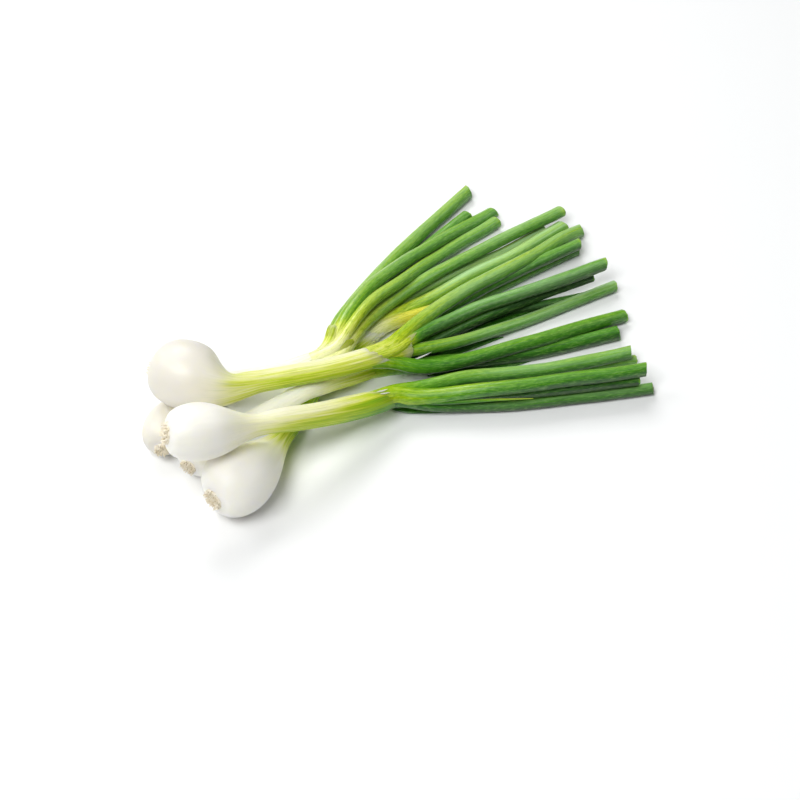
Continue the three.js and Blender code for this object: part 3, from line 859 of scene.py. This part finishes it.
def inner_sheath(onion, number, sheath, seed):
    draw = np.random.default_rng(seed)
    start, stop = sheath["span"]
    count = stop + 12
    route = np.mean([onion["leaves"][k - 1]["settled"][:count] for k in sheath["leaves"]], axis=0)
    shift = onion["route"][onion["length"] - SHEATH_DEPTH + 1] - route[0]
    route = route + shift * (1 - smooth_step(np.arange(count), 2, stop))[:, None]
    distance, angle = spread(np.linspace(start, stop, 2 * (stop - start) + 1), INNER_COLUMNS)
    share = smooth_step(distance, start, stop)
    radius = sheath["radii"][0] + (sheath["radii"][1] - sheath["radii"][0]) * share
    radius *= 1 + sheath["oval"][0] * np.cos(2 * (angle - math.radians(sheath["oval"][1])))
    radius += 0.07 * ripples(draw, angle, distance, *INNER_RIBS)
    grid = mouth(draw, distance, angle, radius, stop, sheath["lips"], 0.25, depth=6)
    distances, angles, radii, plain = grid
    width, most = sheath["paper"]
    young, old = sheath["ages"]
    name = f"{onion['name']}_inner_sheath_{number + 1}"
    skin = closed_skin(name, around(route, distances, angles, radii), {
        "grain": grain(plain, angles, seed * 2.9),
        "age": young + (old - young) * smooth_step(plain, start, stop),
        "paper": most * smooth_step(plain, stop - width, stop - width * 0.4),
    })
    return keep(skin, None, bulb_skin)


for order, onion in enumerate(ONIONS):
    for number, sheath in enumerate(INNER_SHEATHS.get(onion["name"], [])):
        print(inner_sheath(onion, number, sheath, 60 + 5 * order + number).name)

# %% [markdown]
# ## Leaves
# Each leaf is a thin-walled tube, cut off at its end. Near the fork its base is as wide as the space that
# it has in its sheath, and a few bases fill the whole mouth. Further out it is round, but never
# quite: it is pressed a little flat, and the flat side turns slowly. Its lower side, away from the
# lamps, is painted darker as shade, and the wax is laid thicker on the upper side as a painted
# highlight. The cut slants a bit, and shows the wall and the dark hollow behind it. An array of
# copies would be quicker to make, but no two leaves grow alike.

# %% The tones of the leaves
# For every leaf: how old it looks at its base, past the fork and at its end, and how much wax and painted
# highlight it has.
TONES = {
    "near": [(0.50, 0.60, 0.64, 0.7), (0.22, 0.44, 0.76, 0.1), (0.26, 0.52, 0.66, 0.55)],
    # The leaves of under lie low, in shade: their old, dark ages are partly their own deep green and partly
    # painted shade.
    "under": [(0.50, 0.82, 0.97, 0.05), (0.50, 0.80, 0.90, 0.05), (0.50, 0.84, 0.95, 0.05)],
    "left": [(0.24, 0.40, 0.76, 0.3), (0.40, 0.72, 0.84, 0.1), (0.30, 0.66, 0.72, 0.25),
             (0.30, 0.64, 0.78, 0.2), (0.22, 0.44, 0.74, 0.25)],
    "back": [(0.42, 0.62, 0.84, 0.15), (0.50, 0.68, 0.76, 0.5), (0.62, 0.82, 0.80, 0.05),
             (0.42, 0.82, 0.88, 0.3), (0.36, 0.56, 0.70, 0.4)],
    # The first two leaves of top lie lowest, in the shade of the others: their dark ages are partly their
    # own and partly painted shade.
    "top": [(0.84, 0.90, 0.88, 0.2), (0.84, 0.92, 0.94, 0.05), (0.54, 0.64, 0.68, 0.5),
            (0.50, 0.72, 0.78, 0.3), (0.50, 0.84, 0.44, 0.0), (0.50, 0.66, 0.84, 0.05)],
}
# Gold on a leaf that grew without light is [distance, width, strength].
GOLDEN = {"near_leaf_2": (29, 13, 0.75)}
# These stay pale up to here, because an inner sheath kept the light away.
LATE_GREEN = {
    "left_leaf_1": 22,
    "left_leaf_3": 20,
    "left_leaf_4": 22,
    "left_leaf_5": 18,
    "back_leaf_4": 24,
}
AGE_AT = (8, 32, 72, 110)   # mm along a leaf: its base, past the fork, further out and near its end
PAINTED_SHADE_SIDE = 0.15           # how much older the lower side of a leaf looks: painted shade, away from the lamps
RIM_AGE = 0.5               # the age of the fresh cut


def leaf_age(leaf, tones, distance, angle, inside):
    """How old a leaf looks: older along it and on its lower side, where shade is painted, and pale at the
    cut and inside.
    """
    base_age, fork_age, old_age, _ = tones
    rows = list(zip(AGE_AT, (base_age, fork_age, (fork_age + 3 * old_age) / 4, old_age)))
    if leaf["name"] in LATE_GREEN:
        rows.insert(1, (LATE_GREEN[leaf["name"]], base_age + 0.04))
    # The lower side, away from the lamps, is painted older and darker as shade.
    painted_shade = PAINTED_SHADE_SIDE * smooth_step(distance, 20, 50) * np.cos(angle - LIME_AND_SHADE_SIDE)
    age = smooth_between(rows, distance) + painted_shade
    at_rim = smooth_step(distance, leaf["length"] - 0.9, leaf["length"]) * 0.55
    return age + (RIM_AGE - age) * np.maximum(inside * 0.8, at_rim)


def leaf_gold(leaf, distance):
    centre, width, most = GOLDEN.get(leaf["name"], (0, 1, 0))
    return most * np.exp(-((distance - centre) / width) ** 2)


print(sum(len(tones) for tones in TONES.values()), "leaves have their tones")

# %% The base and section of a leaf
# A leaf that fills the mouth is wide at its base: [radius, distance where it is as narrow as the
# rest, how far it is drawn to the middle of the stem].
WIDE_BASES = {
    "near_leaf_2": (3.6, 40, 0.7),
    "near_leaf_3": (3.2, 36, 0.4),
    "under_leaf_2": (3.8, 30, 0.9),
    "left_leaf_1": (4.2, 34, 0.4),
    "left_leaf_5": (4.4, 34, 0.7),
    "back_leaf_3": (3.6, 30, 0.4),
    "back_leaf_5": (4.9, 34, 0.8),
    "top_leaf_1": (3.4, 30, 0.4),
    "top_leaf_4": (4.0, 34, 0.5),
    "top_leaf_6": (5.0, 34, 0.9),
}
BROAD = {"under_leaf_2": 1.2}           # broader than its solid, as a share
BASE_RADII = (1.8, 3.0)                 # mm, the thinnest and thickest of the other bases
LEAF_LUMPS = (6, (0, 3), (24, 80))      # waves: how many, turns around, lengths in mm
LEAF_RIBS = (6, (7, 16), (150, 500))
FLATNESS = 0.05
MOST_TWIST = 0.012                      # radians in every mm


def leaf_base(onion, leaf):
    """The radius at the base, where the leaf is as narrow as the rest, and how far it is drawn in."""
    narrow = LEAF_SWELL[1] + 8
    if leaf.get("young"):
        return leaf["radius"], narrow, 0
    room = onion["rim"] - SHEATH_WALL - math.hypot(*leaf["seat"])
    return WIDE_BASES.get(leaf["name"], (float(np.clip(room, *BASE_RADII)), narrow, 0))


def leaf_section(draw, leaf, base, narrow):
    """A function that gives the radius of a leaf at a distance and an angle."""
    full = leaf["radius"] * BROAD.get(leaf["name"], 1)
    turned, twist = draw.uniform(0, TURN), draw.uniform(-MOST_TWIST, MOST_TWIST)
    lumps, ribs = draw_waves(draw, *LEAF_LUMPS), draw_waves(draw, *LEAF_RIBS)

    def radius_at(distance, angle):
        grown = smooth_step(distance, 6, narrow)
        round_radius = (base + (full - base) * grown) * point_taper(leaf, distance)
        flat = FLATNESS * np.cos(2 * (angle - (turned + distance * twist)))
        uneven = 0.022 * relief(lumps, angle, distance) + 0.010 * relief(ribs, angle, distance)
        return round_radius * (1 + flat + uneven)

    return radius_at


# %% The cut end of a leaf
LEAF_COLUMNS = 40
LEAF_WALL = 0.7
HOLLOW = 16                             # mm that the skin goes back in behind the cut
CUT_TILTS = (4, 22)                     # degrees
CUT_WAVES = (4, (3, 9), (50, 60))


def cut_slant(draw, leaf, angle):
    """How far each column stands out at a cut that is tilted and a little rough."""
    tilt, turned = math.tan(math.radians(draw.uniform(*CUT_TILTS))), draw.uniform(0, TURN)
    rough = 0.10 * ripples(draw, angle, angle * 0, *CUT_WAVES)
    return tilt * leaf["radius"] * np.cos(angle - turned) + rough


def hollow_end(section, length, slant):
    """The inner skin of a leaf, which goes back in from the cut."""
    rows, angle = spread([0.0, 0.12, 1, 4, 9, HOLLOW], LEAF_COLUMNS)
    distance = length - rows + slant * (1 - rows / HOLLOW)
    wall = LEAF_WALL * (1 + 0.2 * rows / HOLLOW)
    return distance, angle, section(length - rows, angle) - wall, rows * 0 + 1


# %% Leaves
def leaf_tube(onion, leaf, tones, seed):
    draw = np.random.default_rng(seed)
    length = leaf["length"]
    base, narrow, drawn = leaf_base(onion, leaf)
    seat = onion["route"][onion["length"] - SHEATH_DEPTH + 1]
    back_to_seat = 1 - smooth_step(np.arange(length + 1), 4, narrow)
    route = leaf["settled"] + ((seat - leaf["settled"][0]) * drawn) * back_to_seat[:, None]

    section = leaf_section(draw, leaf, base, narrow)
    tip = [length - 1.2, length - 0.5, length - 0.12, length]
    distance, angle = spread(np.concatenate([np.arange(0, length - 2, 1.5), tip]), LEAF_COLUMNS)
    radius = section(distance, angle)
    radius[-1] -= 0.10
    slant = cut_slant(draw, leaf, angle[:1])
    inside = distance * 0
    if not leaf.get("young"):
        cut_off = distance + slant * smooth_step(distance, length - 14, length)
        outer, inner = (cut_off, angle, radius, inside), hollow_end(section, length, slant)
        distance, angle, radius, inside = [np.vstack(pair) for pair in zip(outer, inner)]

    # The wax is laid thicker on the upper side, toward the lamps, as a painted highlight.
    painted_highlight_side = 1 - 0.8 * np.cos(angle - LIME_AND_SHADE_SIDE)
    skin = closed_skin(leaf["name"] + "_tube", around(route, distance, angle, radius), {
        "grain": grain(distance, angle, seed * 3.7),
        "age": leaf_age(leaf, tones, distance, angle, inside),
        "paper": 0.25 * inside * smooth_step(distance, length - 1.5, length),
        "wax_and_highlight": tones[-1] * painted_highlight_side * smooth_step(distance, 20, 70) * (1 - inside),
        "gold": leaf_gold(leaf, distance),
    })
    return keep(skin, leaf["name"], leaf_skin)


for order, onion in enumerate(ONIONS):
    for number, (leaf, tones) in enumerate(zip(onion["leaves"], TONES[onion["name"]])):
        leaf_tube(onion, leaf, tones, 100 * (order + 1) + number)

# %% [markdown]
# ## Torn slivers
# Where leaves part, thin slivers of old sheath are left. A flat plane would do from one side, but
# from the edge it is gone. So a sliver is a leaf pressed nearly flat, and it uses the same skin.

# %% Flat strands
def route_through(places):
    """A smooth route with a point for about every millimetre, and its length in mm."""
    places = np.array(places, float)
    knots = np.concatenate([[0], np.cumsum(np.linalg.norm(np.diff(places, axis=0), axis=1))])
    steps = np.linspace(0, knots[-1], max(8, round(knots[-1])) + 1)
    route = [smooth_between(np.stack([knots, places[:, k]], 1), steps) for k in range(3)]
    return np.stack(route, 1), knots[-1]


def flat_radius(angle, width, thickness):
    """The radius of an oval at an angle. Its thickness is never more than its width."""
    thin = np.minimum(thickness, width)
    return 1 / np.sqrt((np.sin(angle) / width) ** 2 + (np.cos(angle) / thin) ** 2)


print("an oval of 4 by 1 mm:", flat_radius(np.array([0, TURN / 4]), 2.0, 0.5))

# %% Torn slivers
SLIVER_THICKNESS = 0.35
SLIVER_AGE = 0.1
# Places in mm along each one, half its width, and how papery it is.
SLIVERS = {
    "back_strip": ([(4.5, 9, 19), (10.4, 12.8, 18), (16, 17.9, 16)], 0.45, 0.9),
    "top_fleck_1": ([(-11.4, -11.9, 20.3), (-8.9, -10.4, 19.3), (-5.9, -8.5, 18.6)], 0.5, 1.0),
    "top_fleck_2": ([(-9.7, -12.9, 20.0), (-7.4, -11.9, 19.3), (-4.9, -10.6, 18.4)], 0.4, 1.0),
}


def sliver(name, places, half_width, paper, seed):
    route, length = route_through(places)
    count = len(route) - 1
    along, angle = spread(np.linspace(0, count, 2 * count + 1), 24)
    share = along / count
    width = half_width * np.sin(math.pi * np.clip(share, 0.02, 0.98) ** 0.8) + 0.04
    radius = flat_radius(angle, width, SLIVER_THICKNESS / 2)
    skin = closed_skin(name, around(route, along, angle, radius), {
        "grain": grain(share * length, angle * 0.2, seed * 4.1),
        "age": share * 0 + SLIVER_AGE,
        "paper": share * 0 + paper,
    })
    return keep(skin, None, bulb_skin)


for number, (name, shape) in enumerate(SLIVERS.items()):
    print(sliver(name, *shape, 80 + number).name)

# %% [markdown]
# ## Pressed leaves
# The oldest leaves are limp. They lie right on the table, pressed flat by the rest, and nearly all of
# them is hidden. But where the leaves above part, they show as deep green, and without them the
# bright table would show through the bunch. There their dark green is partly their own and partly
# painted shade, for the deep shade in those gaps. They are made as the slivers are, only wider and thicker.

# %% Pressed leaves
PRESSED_THICKNESS = 1.4
TABLE_GAP = 0.05
PRESSED_WAVES = (6, (1, 5), (20, 60))
# Places in mm on the table, half the width, and how old it is; the dark old ages also paint the shade of
# the gaps.
PRESSED_LEAVES = {
    "pressed_leaf_1": (
        [(-2, 32.5), (10, 36.5), (20.5, 40.7), (30.8, 45), (41, 49.8), (54, 54.5), (67, 59.3),
         (79, 64), (87, 67)],
        4.7, 0.95),
    "pressed_leaf_2": (
        [(14, 15.2), (22, 16.7), (30, 18.2), (43, 20.4), (58, 24), (74, 28.5)],
        2.6, 0.95),
    "pressed_leaf_4": (
        [(-9.6, -3.8), (-3, -5.4), (4, -6.6), (15.2, -6.4), (27.8, -5.7), (40, -5.4)],
        2.6, 0.9),
    "pressed_leaf_3": (
        [(-4, 25), (6, 27.5), (15.3, 29.9), (25.4, 32.5), (35.5, 35.6), (45.6, 39), (53, 41.5)],
        3.2, 0.9),
}


def pressed_leaf(name, places, half_width, age, seed):
    draw = np.random.default_rng(seed)
    route, _ = route_through([(x, y, PRESSED_THICKNESS / 2 + TABLE_GAP) for x, y in places])
    count = len(route) - 1
    along, angle = spread(np.arange(0, count + 1, 1.0), LEAF_COLUMNS)
    narrowing = (1 - smooth_step(along, 0.55 * count, count)) ** 0.7
    width = half_width * smooth_step(along, -2, 16) * narrowing + 0.3
    radius = flat_radius(angle, width, PRESSED_THICKNESS / 2)
    radius *= 1 + 0.015 * ripples(draw, angle, along, *PRESSED_WAVES)
    skin = closed_skin(name, around(route, along, angle, radius), {
        "grain": grain(along, angle, seed * 2.3),
        "age": along * 0 + age,
    })
    return keep(skin, None, leaf_skin)


for number, (name, shape) in enumerate(PRESSED_LEAVES.items()):
    print(pressed_leaf(name, *shape, 90 + number).name)

# %% [markdown]
# ## Root plates
# The roots grow from a corky plate under the bulb and were trimmed to short stubs. Hair could draw
# them, but mesh stubs keep their shape everywhere. A golden angle between one stub and the next
# spreads them evenly without rows, as seeds are in a seed head.

# %% The finish of roots
def root_fibre():
    material = bpy.data.materials.new("root_fibre")
    material.use_nodes = True
    tree = material.node_tree
    shader = tree.nodes["Principled BSDF"]
    place = node(tree, "ShaderNodeTexCoord").outputs["Object"]
    blotches = {"Vector": place, "Scale": 420.0, "Detail": 4.0}
    specks = {"Vector": place, "Scale": 1600.0, "Detail": 3.0}
    blotch = node(tree, "ShaderNodeTexNoise", blotches).outputs["Fac"]
    dust = node(tree, "ShaderNodeTexNoise", specks).outputs["Fac"]
    mixed = times_plus(tree, dust, 0.4, times(tree, blotch, 0.75))
    colour = ramp(tree, mixed, [
        (0.36, linear(190, 174, 138)),
        (0.46, linear(224, 212, 182)),
        (0.56, linear(240, 231, 210)),
        (0.80, linear(252, 247, 234)),
    ])
    tree.links.new(colour, shader.inputs["Base Color"])
    bump = node(tree, "ShaderNodeBump", {"Height": mixed, "Strength": 0.8, "Distance": 0.3 * MM})
    tree.links.new(bump.outputs[0], shader.inputs["Normal"])
    shader.inputs["Roughness"].default_value = 0.85
    return material


root_finish = root_fibre()
print("a new finish:", root_finish.name)

# %% Places under a bulb
def under_bulb(onion):
    """Where the onion's route starts, and the directions ahead, to the right and up there."""
    foot = onion["route"][0]
    ahead = onion["route"][1] - foot
    ahead /= np.linalg.norm(ahead)
    right = np.array([ahead[1], -ahead[0], 0]) / math.hypot(ahead[0], ahead[1])
    return foot, ahead, right, np.cross(right, ahead)


def spots(onion, out, turned, back):
    """Points at a distance from the axis, an angle from the top, and a way back from the bulb."""
    foot, ahead, right, up = under_bulb(onion)
    aside = np.multiply.outer(out * np.sin(turned), right)
    above = np.multiply.outer(out * np.cos(turned), up)
    return foot + aside + above - np.multiply.outer(back, ahead)


# %% Root plates
PLATE_COLUMNS = 48
# The rings of a plate: [share of its radius, how far back from the bulb in mm].
PLATE_RINGS = [
    (0.0, -0.2), (0.44, -0.2), (0.66, -0.1), (0.75, 0.2), (0.77, 0.6),
    (0.73, 1.0), (0.62, 1.25), (0.46, 1.45), (0.26, 1.6), (0.08, 1.6),
]
PLATE_EDGE = (5, (2, 9), (9, 14))
PLATE_BUMPS = (6, (2, 9), (2, 5))


def root_plate(onion, draw):
    shares, backs = np.array(PLATE_RINGS).T
    back, turned = spread(backs, PLATE_COLUMNS)
    out = np.repeat(shares[:, None], PLATE_COLUMNS, 1) * onion["plate"]
    out = out * (1 + 0.035 * ripples(draw, turned, back, *PLATE_EDGE))
    back = back + 0.12 * ripples(draw, turned, out, *PLATE_BUMPS) * (back > 0)
    points = spots(onion, out, turned, back)
    skin = closed_skin(onion["name"] + "_root_plate", points[1:], {})
    return keep(skin, onion["name"] + "_roots", root_finish)


# %% The mesh of a stub
STUB_SIDES = 6


def add_stub(vertices, faces, rings, right, up):
    """One stub on a mesh: rings of [centre, radius] from its foot to its top, and a point at each end."""
    start = len(vertices)
    for centre, radius in rings:
        for corner in range(STUB_SIDES):
            bearing = corner * TURN / STUB_SIDES
            vertices.append(centre + radius * (right * math.sin(bearing) + up * math.cos(bearing)))
    ends = len(vertices)
    vertices += [rings[0][0], rings[-1][0]]
    top = ends - STUB_SIDES
    for corner in range(STUB_SIDES):
        after = (corner + 1) % STUB_SIDES
        for here in range(start, top, STUB_SIDES):
            there = here + STUB_SIDES
            faces.append([here + corner, there + corner, there + after, here + after])
        faces.append([ends, start + corner, start + after])
        faces.append([ends + 1, top + after, top + corner])


# %% Root stubs
GOLDEN_ANGLE = 2.39996
ROOT_STUBS = 70
STUB_SPREAD = 0.72          # how far out the stubs stand, as a share of the plate
STUB_RADII = (0.22, 0.42)   # mm
STUB_HEIGHTS = (0.5, 1.9)   # mm
STUB_LEAN = 0.35


def root_stubs(onion, draw):
    _, ahead, right, up = under_bulb(onion)
    vertices, faces = [], []
    for i in range(ROOT_STUBS):
        out = onion["plate"] * STUB_SPREAD * math.sqrt((i + 0.5) / ROOT_STUBS)
        thick, height = draw.uniform(*STUB_RADII), draw.uniform(*STUB_HEIGHTS)
        lean = draw.uniform(-STUB_LEAN, STUB_LEAN, 2)
        foot = spots(onion, np.array(out), np.array(i * GOLDEN_ANGLE), np.array(0.7))
        top = foot - ahead * (0.8 + height) + right * lean[0] * height + up * lean[1] * height
        knee = (foot + top) / 2 + right * lean[1] * 0.3
        add_stub(vertices, faces, [(foot, thick), (knee, thick * 0.85), (top, thick * 0.6)], right, up)
    mesh = bpy.data.meshes.new(onion["name"] + "_root_stubs")
    mesh.from_pydata([((vertex - MIDDLE) * MM).tolist() for vertex in vertices], [], faces)
    mesh.shade_smooth()
    stubs = bpy.data.objects.new(onion["name"] + "_root_stubs", mesh)
    scene.collection.objects.link(stubs)
    stubs.data.materials.append(root_finish)
    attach(stubs, "root")


for number, onion in enumerate(ONIONS):
    onion_draw = np.random.default_rng(40 + number)
    root_plate(onion, onion_draw)
    root_stubs(onion, onion_draw)
print(ROOT_STUBS, "stubs on each of", len(ONIONS), "root plates")

# %% [markdown]
# ## Table and light
# The bunch lies on a plain pale table in soft light. One lamp would leave its near side dark. Four
# wide ones share the work: a window behind, a little to the left, draws the shine along the leaves
# and throws a soft shadow to the front. A lamp in front on the left keeps the bulbs and the near side
# white. Two weak ones from the left and the right round the stems. The sky is nearly dark, so that
# the shadow stays. None of them is part of the object.

# %% The table
TABLE_SIZE = 6.0            # metres

scene.view_settings.view_transform = "Standard"
bpy.ops.mesh.primitive_plane_add(size=TABLE_SIZE)
table = bpy.context.object
table.name = "table"
white = bpy.data.materials.new("white_table")
white.use_nodes = True
table_shader = white.node_tree.nodes["Principled BSDF"]
table_shader.inputs["Base Color"].default_value = linear(245, 246, 246)
table_shader.inputs["Roughness"].default_value = 0.6
table_shader.inputs["Specular IOR Level"].default_value = 0.2
table.data.materials.append(white)
print("the table is", TABLE_SIZE, "m wide")

# %% The light
LAMP_DISTANCE = 1.9         # metres

world = bpy.data.worlds.new("sky")
scene.world = world
world.use_nodes = True
sky = world.node_tree.nodes["Background"]
sky.inputs["Color"].default_value = (0.96, 0.98, 1.0, 1)
sky.inputs["Strength"].default_value = 0.05


def lamp(name, bearing, elevation, size, watts):
    """A soft lamp that shines on the middle. Its bearing is clockwise from the back, in degrees.

    Its size is in metres."""
    light = bpy.data.lights.new(name, "AREA")
    light.size = size
    light.energy = watts
    across, high = math.radians(bearing), math.radians(elevation)
    flat = LAMP_DISTANCE * math.cos(high)
    place = Vector((flat * math.sin(across), flat * math.cos(across), LAMP_DISTANCE * math.sin(high)))
    holder = bpy.data.objects.new(name, light)
    holder.location = place
    holder.rotation_euler = (-place).to_track_quat("-Z", "Y").to_euler()
    scene.collection.objects.link(holder)


lamp("window", -22, 49, 0.9, 17.5)
lamp("left_lamp", -75, 45, 0.7, 6.5)
lamp("front_lamp", -142, 60, 1.0, 26.5)
lamp("right_lamp", 90, 50, 1.0, 4)
print("lamps:", [light.name for light in bpy.data.lights])
